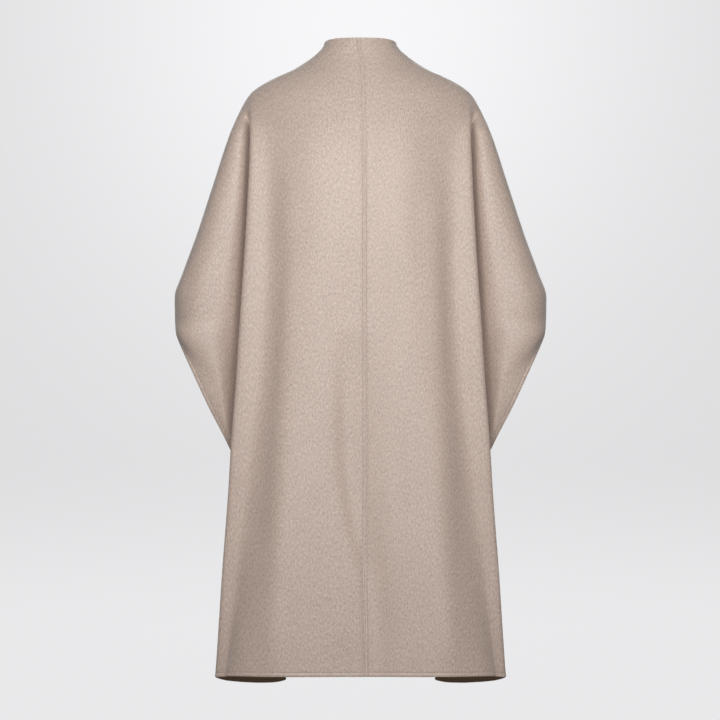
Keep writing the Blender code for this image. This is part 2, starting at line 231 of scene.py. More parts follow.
print("rows of the fold tables", len(VALLEY["z"]), len(BACK_FOLDS["z"]), len(FRONT_FOLDS["z"]))

# %% Front edges and hem
# Half the gap between the two front edges
FRONT_GAP = table("""
z      x
0.0500 0.018
-0.064 0.014
-0.320 0.010
-1.148 0.018
""")

# How far the hem sags below its corner, from the fold edge (share 0) in to the side seam (share 1)
HEM_SAG = table("""
share drop
0.00  0.0000
0.02  0.0016
0.06  0.0044
0.10  0.0066
0.16  0.0097
0.25  0.0126
0.35  0.0154
0.47  0.0179
0.58  0.0199
0.69  0.0210
0.79  0.0216
0.86  0.0213
0.91  0.0205
0.96  0.0192
1.00  0.0178
""")

FOLDS = {BACK: BACK_FOLDS, FRONT: FRONT_FOLDS}
CUFF = {BACK: BACK_CUFF, FRONT: FRONT_CUFF}
SIDE_NAME = {BACK: "back", FRONT: "front"}
print("tables from", COLLAR_TOP, "down to", HEM)

# %% [markdown]
# ## Reading the tables
# Straight lines between table rows would leave a kink in the cloth at each row, and a plain cubic would
# swing past the rows. A monotone cubic does neither. It is worked out for all heights at once.

# %% Smooth readings and steps


def read(tabled, name, z):
    """One column of a table at heights z.

    Between two rows the value is the cubic with the rows' own values and slopes. A row's slope is the
    weighted harmonic mean of the slopes on its two sides, or 0 where they disagree, so nothing overshoots.
    """
    down, value = -tabled["z"], tabled[name]
    step = np.diff(down)
    slope = np.diff(value) / step
    near, far = 2 * step[1:] + step[:-1], step[1:] + 2 * step[:-1]
    agree = slope[:-1] * slope[1:] > 0
    above, below = np.where(agree, slope[:-1], 1), np.where(agree, slope[1:], 1)
    middle = np.where(agree, (near + far) / (near / above + far / below), 0)
    bend = np.concatenate((slope[:1], middle, slope[-1:]))
    i = np.clip(np.searchsorted(down, -z) - 1, 0, len(step) - 1)
    t = np.clip((-z - down[i]) / step[i], 0, 1)
    return (
        value[i] * (1 + 2 * t) * (1 - t) ** 2
        + value[i + 1] * t * t * (3 - 2 * t)
        + step[i] * t * (1 - t) * (bend[i] * (1 - t) - bend[i + 1] * t)
    )


def ramp(value, start, end):
    """A smooth step: 0 at start, 1 at end, and the cubic 3t^2 - 2t^3 between."""
    t = np.clip((value - start) / (end - start), 0, 1)
    return t * t * (3 - 2 * t)


def unit(vectors):
    """Vectors of length 1: each is divided by its own length."""
    return vectors / np.linalg.norm(vectors, axis=-1, keepdims=True)


print("fold edge at the hem", round(float(read(BACK_FOLDS, "fold_x", np.array([HEM]))[0]), 4))

# %% [markdown]
# ## One level section
# Seen from above, half of the cape is one line: from the middle of the back over a ridge and a flute to
# the drape fold that falls from the shoulder, in under that fold, and out again along the sleeve. Near the
# shoulder there is no fold yet, so the section is a rounded oval, and between the two heights the control
# points of one move smoothly to those of the other. Under the sleeve the line ends inside the fold, at the
# side seam.

# %% Where a section ends
# One height at which each new helper is tried
TRIAL = np.array([-0.3])


def valley_turn(z, side):
    """Centre (x, depth) of the valley's turn, and the angle where it ends.

    It is a half circle while the sleeve leaves it. Below the cuff its end swings back by 90 degrees, and
    the centre sinks with the sine of that swing, so it closes to a quarter circle at the side seam.
    """
    centre = read(VALLEY, "x", z) + VALLEY_RADIUS
    closing = np.pi / 2 * np.clip((z - UNDERARM) / (CUFF_FOOT - UNDERARM), 0, 1)
    under_sleeve = (VALLEY_RADIUS + WALL + VALLEY_CLEAR) * np.sin(closing)
    depth = np.where(z >= CUFF_FOOT, read(VALLEY, SIDE_NAME[side], z), under_sleeve)
    return centre, depth, np.pi + closing


def seam_or_cuff(z, side):
    """(x, y) where the sections end: on the overarm seam, the cuff or the side seam."""
    centre, depth, turned = valley_turn(z, side)
    ends = []
    for name, seam in (("x", centre + VALLEY_RADIUS * np.cos(turned)),
                       ("y", side * (depth + VALLEY_RADIUS * np.sin(turned)))):
        cuff = read(CUFF[side], name, z)
        if side == BACK and name == "y":
            cuff = cuff + read(CUFF_STANDS_OUT, "y", z)
        sleeve = np.where(z >= CUFF_TOP, read(OVERARM, name, z), cuff)
        ends.append(np.where(z >= CUFF_FOOT, sleeve, seam))
    return np.stack(ends, axis=-1)


print("a back section ends at", seam_or_cuff(TRIAL, BACK)[0].round(4))

# %% Control points of every section
SHARES_BEFORE = (0, 0.13, 0.29, 0.55, 0.84, 0.965, 0.99)
SHARES_AFTER = (0.02, 0.05, 0.08, 0.11, 0.14, 0.17, 0.20, 0.32, 0.48, 0.67, 0.84, 1)
COLLAR_PARTING = np.radians(45)
WIDEST_PARTING = 0.955


def side_by_side(*points):
    """Points given as (x, y), each a number or one value a row, as an array of rows, points and 2."""
    rows = max(np.size(value) for point in points for value in point)
    return np.stack([np.stack([np.broadcast_to(v, rows) for v in point], -1) for point in points], 1)


def on_circle(x, y, radius, angles):
    """Points at angles (one value a row each) on circles centred at (x, y)."""
    return [(x + radius * np.cos(a), y + radius * np.sin(a)) for a in angles]


def oval_points(z, side, middle_x, edge):
    """Control points on an oval: x goes with sin(a)^(2/square), depth with cos(a)^(2/square)."""
    power = (2 / read(PROFILE, "square", z))[:, None]
    middle = read(PROFILE, SIDE_NAME[side], z)[:, None]
    fold_share = np.minimum(read(FOLDS[side], "fold_x", z) / edge[:, 0], WIDEST_PARTING)
    parting = np.arcsin(fold_share ** (1 / power[:, 0]))
    parting = (parting + (COLLAR_PARTING - parting) * ramp(z, FOLD_STARTS, COLLAR_TOP))[:, None]
    after = parting + np.array(SHARES_AFTER) * (np.pi / 2 - parting)
    angles = np.concatenate((np.array(SHARES_BEFORE) * parting, after), axis=1)
    depth = side * edge[:, 1:]
    x = middle_x[:, None] + (edge[:, :1] - middle_x[:, None]) * np.sin(angles) ** power
    out = depth + (middle - depth) * np.abs(np.cos(angles)) ** power
    return np.stack((x, out), axis=-1)


def fold_points(z, side, middle_x, edge):
    """Control points over ridge, flute, drape fold, valley and sleeve crest, read from the tables."""
    size = {name: read(FOLDS[side], name, z) for name in FOLDS[side] if name != "z"}
    middle = read(PROFILE, SIDE_NAME[side], z)
    end_x, end = edge[:, 0], side * edge[:, 1]
    to_ridge_x, to_ridge = size["ridge_x"] - middle_x, size["ridge"] - middle
    panel = [
        (middle_x, middle),
        (middle_x + RIDGE_LEAD[0] * to_ridge_x, middle + RIDGE_LEAD[1] * to_ridge),
        (size["ridge_x"], size["ridge"]),
        (size["flute_x"], size["flute"]),
        (size["fold_x"] - BROW, size["fold"] + FOLD_RADIUS),
    ]
    fold = on_circle(size["fold_x"] - FOLD_RADIUS, size["fold"], FOLD_RADIUS, FOLD_TURN)
    valley_x, valley, turned = valley_turn(z, side)
    turn = np.linspace(np.pi / 2, turned, VALLEY_POINTS)
    inner = on_circle(valley_x, valley, VALLEY_RADIUS, turn)
    under = ((fold[-1][0] + inner[0][0]) / 2, (fold[-1][1] + inner[0][1]) / 2)
    crest_x = np.where(z >= CUFF_FOOT, size["crest_x"], end_x)
    crest = np.where(z >= CUFF_FOOT, size["crest"], end)
    leaves_x, leaves = inner[-1]
    free = ramp(-z, *HANGS_FREE)[:, None, None]
    shares = (1 - free) * ON_SLEEVE + free * ON_CUFF
    arm = [
        (leaves_x + SLEEVE_RISE[0] * (crest_x - leaves_x), leaves + SLEEVE_RISE[1] * (crest - leaves)),
        (crest_x, crest),
        *((end_x + share[:, 0] * (crest_x - end_x), end + share[:, 1] * (crest - end))
          for share in (shares[:, 0], shares[:, 1])),
        (end_x, end),
    ]
    return side_by_side(*panel, *fold, under, *inner, *arm)


def section_controls(z, side):
    """Control points (x, y) of the sections at heights z, from the middle edge outwards."""
    edge = seam_or_cuff(z, side)
    middle_x = np.zeros(len(z)) if side == BACK else read(FRONT_GAP, "x", z)
    folded = ramp(-z, -FOLD_STARTS, -FOLD_FORMED)[:, None, None]
    points = (1 - folded) * oval_points(z, side, middle_x, edge)
    points = points + folded * fold_points(z, side, middle_x, edge)
    return points * (1, side)


print("control points in a section:", section_controls(TRIAL, BACK).shape[1])

# %% [markdown]
# ## From control points to a fine line
# A B-spline is the natural curve for cloth: it is as smooth as a bent strip and never leaves its control
# points' neighbourhood. Each stretch of it is a weighted mean of four control points. At a seam it runs on
# into the other panel, so that front and back meet in one smooth curve.

# %% B-spline sections
STEPS = 40
FOLD_INDEX = int((len(SHARES_BEFORE) - 0.5) * STEPS)


def smooth_curves(controls, before, after):
    """Uniform cubic B-splines through rows of control points, with one more beyond each end."""
    points = np.concatenate((before[:, None], controls, after[:, None]), axis=1)
    t = np.arange(STEPS) / STEPS
    weights = np.array(((1 - t) ** 3, 3 * t**3 - 6 * t**2 + 4, 1 + 3 * t + 3 * t**2 - 3 * t**3, t**3)) / 6
    spans = points.shape[1] - 3
    fours = np.stack([points[:, k : k + spans] for k in range(4)], axis=2)
    fine = np.einsum("rpkd,ks->rpsd", fours, weights).reshape(len(points), spans * STEPS, 2)
    last = (points[:, -3] + 4 * points[:, -2] + points[:, -1]) / 6
    return np.concatenate((fine, last[:, None]), axis=1)


def section_curves(z, side):
    """The sections at heights z as fine polylines."""
    own, other = section_controls(z, side), section_controls(z, -side)
    before = own[:, 1] * (-1, 1) if side == BACK else 2 * own[:, 0] - own[:, 1]
    free = ramp(-z, -CUFF_TOP, -CUFF_RELEASED)[:, None]
    sewn_on = own[:, -1] + other[:, -2] - other[:, -1]
    after = (1 - free) * sewn_on + free * (2 * own[:, -1] - own[:, -2])
    return smooth_curves(own, before, after)


def along_rows(at, x, values):
    """Reads values(x) at places at, for every row in one call.

    Each row is pushed to its own stretch of one long line, 100 from the next, which is more than any row's
    length in metres or in spans, so that a single interpolation can serve them all.
    """
    shift = 100.0 * np.arange(len(at))[:, None]
    x = np.broadcast_to(x, values.shape)
    return np.interp((at + shift).ravel(), (x + shift).ravel(), values.ravel()).reshape(at.shape)


print("points in a fine section:", section_curves(TRIAL, BACK).shape[1])

# %% [markdown]
# ## Rows and columns of the cloth
# The cloth is a grid. Most of its columns follow the curve's own parameter, which packs them into the tight
# turns. Along the edges they lie at set distances instead, so that an edge can be rounded and a row of
# stitches can press a clean groove beside it. The rows do the same at the collar edge and the hem.

# %% Where rows and columns lie
EDGE_STEPS = (0.0, 0.0002, 0.0006, 0.0014, 0.0022)
CENTRE_STITCH, EDGE_STITCH, COLLAR_STITCH = 0.0040, 0.0075, 0.0045
GROOVE_STEPS = (-0.0010, -0.0005, 0.0, 0.0005, 0.0010)
EDGE_ZONE, ZONE_END_GAP = 0.014, 0.003


def edge_places(stitch):
    """Distances from an edge: close at the edge itself and on both sides of the row of stitches."""
    pressed = stitch + np.array(GROOVE_STEPS)
    between = [(EDGE_STEPS[-1] + pressed[0]) / 2, EDGE_ZONE - ZONE_END_GAP]
    return np.unique(np.concatenate((EDGE_STEPS, pressed, between)))


def row_heights():
    """Heights of the rows, finer at both edges, where the fold forms and where the cuff ends."""
    top = COLLAR_TOP - edge_places(COLLAR_STITCH)
    hem = (HEM + edge_places(EDGE_STITCH))[::-1]
    stretches = (
        (COLLAR_TOP - EDGE_ZONE, FOLD_STARTS, 26),
        (FOLD_STARTS, FOLD_FORMED, 20),
        (FOLD_FORMED, CUFF_TOP, 56),
        (CUFF_TOP, CUFF_RELEASED, 10),
        (CUFF_RELEASED, CUFF_NARROWS, 34),
        (CUFF_NARROWS, CUFF_FOOT, 16),
        (CUFF_FOOT, UNDERARM, 12),
        (UNDERARM, HEM + EDGE_ZONE, 44),
    )
    middle = [np.linspace(start, end, count, endpoint=False) for start, end, count in stretches]
    return np.concatenate((top, *middle, [HEM + EDGE_ZONE], hem))


HEIGHTS = row_heights()
print(len(HEIGHTS), "rows, and", len(edge_places(EDGE_STITCH)), "columns beside a stitched edge")

# %% The grid of each panel
PANEL_COLUMNS, SLEEVE_COLUMNS = 66, 84
STITCH_AT = {BACK: CENTRE_STITCH, FRONT: EDGE_STITCH}
HEM_CORNER_DROP, HEM_CORNER_POWER, COLLAR_CORNER_POWER = 0.0062, 5, 6
HEM_SWAYS_FROM, COLLAR_SWAYS_FROM = -0.90, 0.0
COLLAR_SIDE_DROP, COLLAR_FRONT_DROP = 0.004, 0.012


def lay_grid(side):
    """Outer points of the left panel of one side, and each point's distance from its row's two ends."""
    curve = section_curves(HEIGHTS, side)
    step = np.linalg.norm(np.diff(curve, axis=1), axis=2)
    along = np.concatenate((np.zeros((len(HEIGHTS), 1)), np.cumsum(step, axis=1)), axis=1)
    whole, fold = along[:, -1:], along[:, FOLD_INDEX : FOLD_INDEX + 1]
    parameter = np.broadcast_to(np.arange(curve.shape[1], dtype=float) / STEPS, along.shape)

    rows = np.ones((len(HEIGHTS), 1))
    start = along_rows(EDGE_ZONE * rows, along, parameter)
    end = along_rows(whole - EDGE_ZONE, along, parameter)
    turn = FOLD_INDEX / STEPS
    panel = start + (turn - start) * np.arange(PANEL_COLUMNS) / PANEL_COLUMNS
    sleeve = turn + (end - turn) * np.arange(SLEEVE_COLUMNS + 1) / SLEEVE_COLUMNS
    body = along_rows(np.concatenate((panel, sleeve), axis=1), parameter, along)
    places = np.concatenate(
        (rows * edge_places(STITCH_AT[side]), body, whole - edge_places(EDGE_STITCH)[::-1]), axis=1
    )
    x, y = (along_rows(places, along, curve[:, :, axis]) for axis in (0, 1))

    under = np.clip((places - fold) / (whole - fold), 0, 1)
    outward = x / x.max(axis=1, keepdims=True)
    hem = HEM_CORNER_DROP * outward**HEM_CORNER_POWER + np.interp(under, HEM_SAG["share"], HEM_SAG["drop"])
    collar = COLLAR_SIDE_DROP * outward**COLLAR_CORNER_POWER
    if side == FRONT:
        collar = collar + COLLAR_FRONT_DROP * (1 - outward)
    z = HEIGHTS[:, None]
    drop = hem * ramp(-z, -HEM_SWAYS_FROM, -HEM) + collar * ramp(z, COLLAR_SWAYS_FROM, COLLAR_TOP)
    return np.stack((x, y, z - drop), axis=-1), places, whole - places, under


def outward_normals(points, side):
    """Normals of a grid surface: the cross product of its steps along a row and down a column, made unit."""
    return unit(side * np.cross(np.gradient(points, axis=1), np.gradient(points, axis=0)))


grids = {side: lay_grid(side) for side in (BACK, FRONT)}
for side, name in SIDE_NAME.items():
    print(name, "grid", grids[side][0].shape[:2], "widest row", round(float(grids[side][1].max()), 3), "m")

# %% [markdown]
# ## The middle of the cloth
# A thick cloth is easiest to shape by the surface in the middle of it, with the two faces half a wall to
# either side. Where two panels are sewn together they share one normal, so their faces run on without a
# step, and each keeps a hair's breadth from the other.

# %% Middle surfaces and shared seam normals


def middle_surfaces():
    """Middle surface and outward normals of the left back and the left front."""
    (back, *_), (front, *_) = grids[BACK], grids[FRONT]
    back_out, front_out = outward_normals(back, BACK), outward_normals(front, FRONT)
    back_out[:, 0] = unit(back_out[:, 0] * (0, 1, 1))
    sewn = (HEIGHTS >= CUFF_TOP) | (HEIGHTS <= UNDERARM)
    seam_out = unit(back_out[sewn, -1] + front_out[sewn, -1])
    back_out[sewn, -1] = front_out[sewn, -1] = seam_out
    apart = SEAM_HALF_GAP * unit(np.cross(seam_out, np.gradient(back[:, -1], axis=0)[sewn]))
    back[sewn, -1] += apart
    front[sewn, -1] -= apart
    back[:, 0, 0] = SEAM_HALF_GAP
    return {
        BACK: (back - WALL / 2 * back_out, back_out),
        FRONT: (front - WALL / 2 * front_out, front_out),
    }


middles = middle_surfaces()


def down_columns(points):
    """Distance of each point from the top of its column, along the cloth."""
    step = np.linalg.norm(np.diff(points, axis=0), axis=2)
    return np.concatenate((np.zeros((1, points.shape[1])), np.cumsum(step, axis=0)))


def surface_area(points):
    """Area of a grid surface: half the cross product of the two diagonals of every cell."""
    one, two = points[1:, 1:] - points[:-1, :-1], points[1:, :-1] - points[:-1, 1:]
    return float(np.linalg.norm(np.cross(one, two), axis=2).sum() / 2)


for side, name in SIDE_NAME.items():
    middle = middles[side][0]

# %% [markdown]
# ## Creases
# Beyond its big folds the wool has a few broad, shallow troughs and ridges, which show only in how the
# light falls. Noise would scatter them evenly, and real ones aren't even, so each is placed one by one: two
# ends, a bow, a width and a height, which is negative for a trough. Each fades out at both ends. Three long
# troughs change on their way down, so each has a table with a row for every height.

# %% Crease tables
BACK_CREASES = table("""
x_top  z_top  x_foot z_foot bow    width height  fade
0.130  -0.150 0.166  -1.200 0.000  0.024 0.0046  0.14
-0.070 -0.640 -0.076 -0.960 0.002  0.010 -0.0012 0.35
-0.134 -0.160 -0.168 -1.200 0.000  0.023 0.0044  0.14
0.042  -1.060 0.042  -1.190 0.000  0.016 -0.0018 0.45
0.012  -0.140 0.004  -0.540 0.003  0.030 -0.0010 0.35
0.072  -0.060 0.034  -0.100 -0.004 0.010 -0.0008 0.45
-0.078 -0.062 -0.040 -0.096 0.004  0.010 -0.0007 0.45
""")
FRONT_CREASES = table("""
x_top  z_top  x_foot z_foot bow    width height  fade
0.060  -0.480 0.046  -1.060 0.005  0.024 -0.0036 0.30
-0.072 -0.540 -0.050 -1.110 -0.004 0.028 -0.0030 0.30
0.108  -0.620 0.124  -1.120 0.000  0.026 0.0024  0.35
-0.104 -0.580 -0.112 -1.140 0.000  0.030 0.0026  0.35
0.070  -0.070 0.034  -0.130 -0.004 0.012 -0.0010 0.45
-0.074 -0.066 -0.040 -0.118 0.004  0.012 -0.0008 0.45
""")
SLEEVE_CREASES = table("""
x_top  z_top  x_foot z_foot bow    width height  fade
0.290  -0.340 0.334  -0.540 0.004  0.014 0.0022  0.35
0.236  -0.200 0.262  -0.420 -0.004 0.016 -0.0016 0.40
0.250  -0.420 0.252  -0.720 0.004  0.026 -0.0048 0.40
-0.294 -0.330 -0.334 -0.530 -0.003 0.014 0.0020  0.35
-0.240 -0.220 -0.270 -0.450 0.005  0.018 -0.0014 0.40
-0.248 -0.440 -0.254 -0.720 -0.003 0.026 -0.0044 0.40
""")

# Long troughs of the back that fall with the drape: x of the deepest line, width of the flank nearer the
# middle and of the one farther from it, and height
LEFT_FLUTE = table("""
z      x     near  far   height
-0.090 0.148 0.016 0.030 0.0000
-0.160 0.142 0.018 0.030 0.0006
-0.298 0.136 0.018 0.028 0.0000
-0.373 0.148 0.016 0.028 -0.0022
-0.522 0.161 0.015 0.026 -0.0030
-0.671 0.172 0.016 0.026 -0.0022
-0.820 0.184 0.017 0.028 -0.0016
-0.969 0.200 0.026 0.028 0.0022
-1.060 0.216 0.044 0.028 0.0076
-1.150 0.232 0.048 0.026 0.0140
""")
RIGHT_FLUTE = table("""
z      x     near  far   height
-0.090 0.152 0.016 0.030 0.0000
-0.160 0.156 0.018 0.028 0.0006
-0.298 0.163 0.018 0.024 0.0000
-0.373 0.163 0.016 0.026 -0.0022
-0.522 0.167 0.015 0.026 -0.0030
-0.671 0.185 0.016 0.024 -0.0020
-0.820 0.193 0.017 0.026 -0.0014
-0.969 0.202 0.026 0.028 0.0022
-1.060 0.216 0.044 0.028 0.0076
-1.150 0.232 0.048 0.026 0.0140
""")
MIDDLE_TROUGH = table("""
z      x      near  far   height
-0.500 0.034  0.050 0.020 0.0000
-0.600 0.032  0.050 0.018 -0.0056
-0.745 0.029  0.048 0.018 -0.0086
-0.860 0.014  0.044 0.018 -0.0092
-1.000 -0.012 0.038 0.018 -0.0088
-1.160 -0.018 0.036 0.020 -0.0060
""")
print("creases by hand:", sum(len(t["x_top"]) for t in (BACK_CREASES, FRONT_CREASES, SLEEVE_CREASES)))

# %% Heights of creases and troughs


def trough_heights(points, trough, hand):
    """Height of a long trough: a bell exp(-(d / width)^2) across, with its own width on either flank."""
    z = np.clip(points[..., 2], trough["z"][-1], trough["z"][0])
    d = hand * points[..., 0] - read(trough, "x", z)
    width = np.where(d < 0, read(trough, "near", z), read(trough, "far", z))
    return read(trough, "height", z) * np.exp(-((d / width) ** 2))


def crease_heights(points, creases):
    """Height of all creases at each point, seen from behind as (x, z).

    t runs along a crease and d is the distance from its bowed line. The height is that of a bell curve
    exp(-(d / width)^2), which rises and falls smoothly over the share fade at each end.
    """
    total = np.zeros(points.shape[:2])
    for x0, z0, x1, z1, bow, width, height, fade in zip(*creases.values()):
        start, line = np.array((x0, z0)), np.array((x1 - x0, z1 - z0))
        length = np.linalg.norm(line)
        forward, across = line / length, np.array((line[1], -line[0])) / length
        offset = points[..., ::2] - start
        t = offset @ forward / length
        distance = offset @ across - bow * np.sin(np.pi * np.clip(t, 0, 1))
        total += height * np.exp(-((distance / width) ** 2)) * ramp(t, 0, fade) * ramp(1 - t, 0, fade)
    return total


print("deepest of the long troughs", 1000 * float(MIDDLE_TROUGH["height"].min()), "mm")

# %% [markdown]
# ## Edges, seams and the press of the stitches
# The wool is thick, so its edges are round and a seam shows as a soft valley. A row of stitches presses a
# groove into both faces, and between the groove and a turned edge the whole cloth bows out a little. All of
# this depends only on the distance from the edges.

# %% Rounded edges and stitch grooves
EDGE_ROUND, SEAM_ROUND = 0.0014, 0.0005
GROOVE_WIDTH, GROOVE_DEPTH, SWELL = 0.0007, 0.00042, 0.0004
CUFF_FADE = 0.01


def rounded(distance, radius):
    """A quarter circle: 0 at the edge, and 1 from one radius on."""
    return np.sqrt(np.clip(1 - (1 - np.clip(distance / radius, 0, 1)) ** 2, 0, 1))


def beside_stitches(side, from_top, from_hem, bell):
    """Sum of bell(distance from an edge, distance of its stitches) over the sewn edges of a panel."""
    _, from_middle, from_outer, _ = grids[side]
    return (
        bell(from_middle, STITCH_AT[side])
        + bell(from_outer, EDGE_STITCH) * on_cuff()
        + bell(from_top, COLLAR_STITCH)
        + bell(from_hem, EDGE_STITCH)
    )


def on_cuff():
    """1 where the outer end of a row is the free edge of the cuff, and 0 where it is a seam."""
    z = HEIGHTS[:, None]
    return ramp(-z, -CUFF_TOP, -CUFF_RELEASED) * ramp(z, CUFF_FOOT, CUFF_FOOT + CUFF_FADE)


def groove(distance, stitch):
    """Depth of a stitch groove: a bell exp(-(d / width)^2), d being the distance from the stitches."""
    return GROOVE_DEPTH * np.exp(-(((distance - stitch) / GROOVE_WIDTH) ** 2))


def swell(distance, stitch):
    """Height of the swell: a bell midway between the edge and its stitches, a third of that way wide."""
    return SWELL * np.exp(-(((distance - stitch / 2) / (stitch / 3)) ** 2))


def half_thickness(side, from_top, from_hem):
    """Half the wall less the stitch grooves, times the quarter circles that round the four edges."""
    _, from_middle, from_outer, _ = grids[side]
    middle_round = SEAM_ROUND if side == BACK else EDGE_ROUND
    outer_round = SEAM_ROUND + (EDGE_ROUND - SEAM_ROUND) * on_cuff()
    edge = rounded(from_middle, middle_round) * rounded(from_outer, outer_round)
    edge = edge * rounded(from_top, EDGE_ROUND) * rounded(from_hem, EDGE_ROUND)
    return (WALL / 2 - beside_stitches(side, from_top, from_hem, groove)) * edge


print("cloth", 1000 * WALL, "mm thick, and in a groove", round(1000 * (WALL - 2 * GROOVE_DEPTH), 2))

# %% Thinner in the tightest turns
# In a turn tighter than its own thickness real cloth is squeezed thin, and a full wall would pass through
# itself there
THINNING_ROUNDS, THINNING, INNER_SPACING = 14, 0.93, 0.45
SOFTENING_ROUNDS = 60


def softened(out):
    """Normals averaged with their four neighbours, round after round, while the border keeps its own.

    The inner face is laid along these. It then takes the start of a drape fold in a wider turn than the
    outer face, and doesn't pass through itself.
    """
    soft = out.copy()
    for _ in range(SOFTENING_ROUNDS):
        around = soft[:-2, 1:-1] + soft[2:, 1:-1] + soft[1:-1, :-2] + soft[1:-1, 2:]
        soft[1:-1, 1:-1] = unit(soft[1:-1, 1:-1] + around)
    return soft


def squeezed(centre, out):
    """Share of the thickness that each point keeps: 1, and less in the tightest turns.

    Where two neighbours on the inner face would come nearer to each other than a set share of the distance
    between their outer points, or change places, both lose a little thickness, round after round.
    """
    outer, share = centre + WALL / 2 * out, np.ones(centre.shape[:2] + (1,))
    for _ in range(THINNING_ROUNDS):
        inner = outer - WALL * share * out
        thin = np.zeros(share.shape[:2], bool)
        for axis in (0, 1):
            step, inner_step = np.diff(outer, axis=axis), np.diff(inner, axis=axis)
            crowded = (inner_step * step).sum(axis=-1) < INNER_SPACING * (step**2).sum(axis=-1)
            before, after = [[(0, 0), (0, 0)] for _ in range(2)]
            before[axis], after[axis] = (0, 1), (1, 0)
            thin |= np.pad(crowded, before) | np.pad(crowded, after)
        share[thin] *= THINNING
    return share


print("thinnest the cloth may become:", round(1000 * WALL * THINNING**THINNING_ROUNDS, 2), "mm")

# %% [markdown]
# ## From a surface to a piece of cloth
# Each panel becomes one closed mesh. Its two faces share the ring of points along the edge, where the half
# thickness is nought, so there is no separate rim to close. The cloth's own length and width go into a UV
# map in metres, which lets the wool's fibres follow the cloth through its folds.

# %% One closed piece of cloth


def new_object(name, data):
    """An object at the origin, unturned and unscaled, for a mesh, a light or a camera."""
    made = bpy.data.objects.new(name, data)
    bpy.context.scene.collection.objects.link(made)
    return made


def quads(index):
    """The four corners of every cell in a grid of point numbers, in turn round the cell."""
    corners = (index[:-1, :-1], index[:-1, 1:], index[1:, 1:], index[1:, :-1])
    return np.stack(corners, axis=-1).reshape(-1, 4)


def closed_cloth(name, outer, inner, uv, facing):
    """One closed mesh from two grids that share their border points."""
    rows, columns = outer.shape[:2]
    face = np.arange(rows * columns).reshape(rows, columns)
    border = np.ones((rows, columns), bool)
    border[1:-1, 1:-1] = False
    back = face.copy()
    back[~border] = rows * columns + np.arange((~border).sum())
    faces = np.concatenate((quads(face), quads(back)[:, ::-1]))
    faces = faces[:, ::-1] if facing < 0 else faces
    points = np.concatenate((outer.reshape(-1, 3), inner[~border]))
    flat = np.concatenate((uv.reshape(-1, 2), uv[~border]))

    mesh = bpy.data.meshes.new(name)
    mesh.vertices.add(len(points))
    mesh.vertices.foreach_set("co", points.ravel())
    mesh.loops.add(faces.size)
    mesh.loops.foreach_set("vertex_index", faces.ravel().astype(np.int32))
    mesh.polygons.add(len(faces))
    mesh.polygons.foreach_set("loop_start", np.arange(0, faces.size, 4, dtype=np.int32))
    mesh.polygons.foreach_set("material_index", np.repeat((0, 1), len(faces) // 2).astype(np.int32))
    mesh.update(calc_edges=True)
    mesh.validate()
    layer = mesh.uv_layers.new(name="cloth")
    layer.data.foreach_set("uv", flat[faces.ravel()].ravel())
    mesh.shade_smooth()
    return new_object(name, mesh)


print("corners of one cell:", quads(np.arange(4).reshape(2, 2))[0])

# %% Build the four panels
DRIFT_REACH = 0.10
# Where creases of the panel end and those of the sleeve begin, as shares of the way from fold to outer end,
# and the distance from that end over which the sleeve's fade
PANEL_CREASES_END, SLEEVE_CREASES_START, SLEEVE_EDGE_FADE = 0.12, (0.35, 0.55), 0.03
CENTRE_DRIFT = table("""
z      x
0.0330 0.0028
-0.006 -0.0037
-0.160 -0.0068
-0.300 -0.0074
-0.860 -0.0076
-1.087 -0.0106
-1.170 -0.0110
""")


def drift(points):
    """The centre seam wanders from side to side on its way down; the cloth farther out stays where it is."""
    z = np.clip(points[..., 2], CENTRE_DRIFT["z"][-1], CENTRE_DRIFT["z"][0])
    near = 1 - ramp(np.abs(points[..., 0]), 0, DRIFT_REACH)
    moved = points.copy()
    moved[..., 0] += read(CENTRE_DRIFT, "x", z) * near
    return moved


panels, faces_out = {}, {}
for side, part, creases in ((BACK, "back", BACK_CREASES), (FRONT, "front", FRONT_CREASES)):
    middle, normal = middles[side]
    _, from_middle, from_outer, under = grids[side]
    down = down_columns(middle)
    half = half_thickness(side, down, down[-1] - down)[..., None]
    on_panel = 1 - ramp(under, 0.0, PANEL_CREASES_END)
    on_sleeve = ramp(under, *SLEEVE_CREASES_START) * ramp(from_outer, 0.0, SLEEVE_EDGE_FADE)
    for hand, flip in (("left", 1), ("right", -1)):
        name = f"{part}_{hand}_cloth"
        turn = np.array((flip, 1, 1))
        place, out = middle * turn, normal * turn
        rise = crease_heights(place, creases)
        if side == BACK:
            flute = LEFT_FLUTE if hand == "left" else RIGHT_FLUTE
            rise += trough_heights(place, flute, flip) + trough_heights(place, MIDDLE_TROUGH, 1)
        rise = rise * on_panel + crease_heights(place, SLEEVE_CREASES) * on_sleeve
        rise += beside_stitches(side, down, down[-1] - down, swell)
        centre = place + rise[..., None] * out
        centre = drift(centre) if side == BACK else centre
        outer = centre + half * out
        inward = softened(out)
        inner = outer - 2 * half * squeezed(centre, inward) * inward
        uv = np.stack((flip * from_middle, -down), axis=-1)
        panels[name] = closed_cloth(name, outer, inner, uv, side * flip)
        faces_out[name] = (outer, outward_normals(outer, flip * side))
        print(name, len(panels[name].data.polygons), "faces, area", round(surface_area(centre), 3), "m2")

# %% [markdown]
# ## Stitches
# The centre seam, the collar edge, the front edges, the cuffs and the hem are all topstitched in thread of
# the wool's own colour. A line drawn in the material would not catch the light as thread does, so each
# stitch is a small mesh: a rod of a few rings, bowed up in the middle and buried at both ends. One array
# holds the rings of every stitch on a panel.

